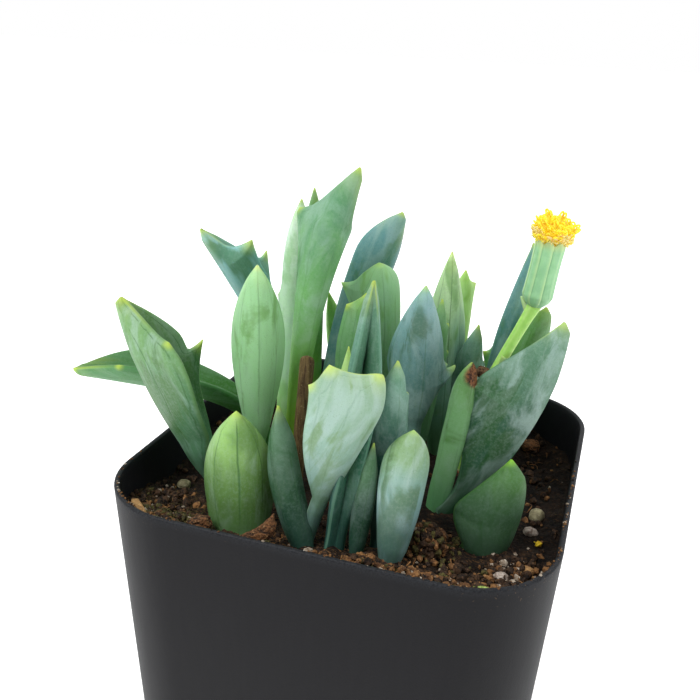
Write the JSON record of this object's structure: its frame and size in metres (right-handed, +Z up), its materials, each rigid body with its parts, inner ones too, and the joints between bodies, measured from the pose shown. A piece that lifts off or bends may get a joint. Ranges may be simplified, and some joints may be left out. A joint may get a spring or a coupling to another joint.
{
  "type": "potted succulent",
  "caption": "Small black square nursery pot filled with soil, holding a clump of thick folded spear-shaped leaves and a slender stalk with a yellow flower head.",
  "frame": {"origin": "centre of the pot's flat base, on the surface that the pot stands on", "axes": "+Z up along the pot's axis, +X and +Y along the pot's sides; the picture looks at the corner between +X and -Y from -Y"},
  "size_m": [0.0709, 0.057, 0.0954],
  "materials": {
    "pot": "black moulded plastic with a soft sheen",
    "soil": "moist dark potting mix, crumbly",
    "leaf": "succulent leaf with a pale waxy bloom, satin",
    "stalk": "fresh green stem, satin",
    "floret": "bright yellow petals, matte",
    "dry": "dry brown plant tissue, matte",
    "bark": "orange-brown bark, matte",
    "straw": "pale straw and crumbs, matte",
    "stone": "perlite and small stones, matte",
    "scrap": "small piece of green leaf, satin"
  },
  "bodies": {
    "root": {"bark_chip_back": "bark", "bark_chip_large": "bark", "bark_chip_small": "bark", "crumb_front": "straw", "dry_leaf": "dry", "florets": "floret", "flower_stalk": "stalk", "leaf_scrap_front": "scrap", "leaf_scrap_right": "scrap", "leafy_stem_back": "leaf", "leafy_stem_back_left": "leaf", "leafy_stem_back_right": "leaf", "leafy_stem_centre": "leaf", "leafy_stem_centre_right": "leaf", "leafy_stem_front": "leaf", "leafy_stem_front_left": "leaf", "leafy_stem_left": "leaf", "leafy_stem_right": "leaf", "leafy_stem_tall": "leaf", "perlite_left": "stone", "perlite_right": "stone", "pot": "pot", "soil": "soil", "stone_front": "stone", "stone_right": "stone", "straw_piece": "straw", "withered_bud_left": "dry", "withered_bud_right": "dry"}
  },
  "joints": []
}
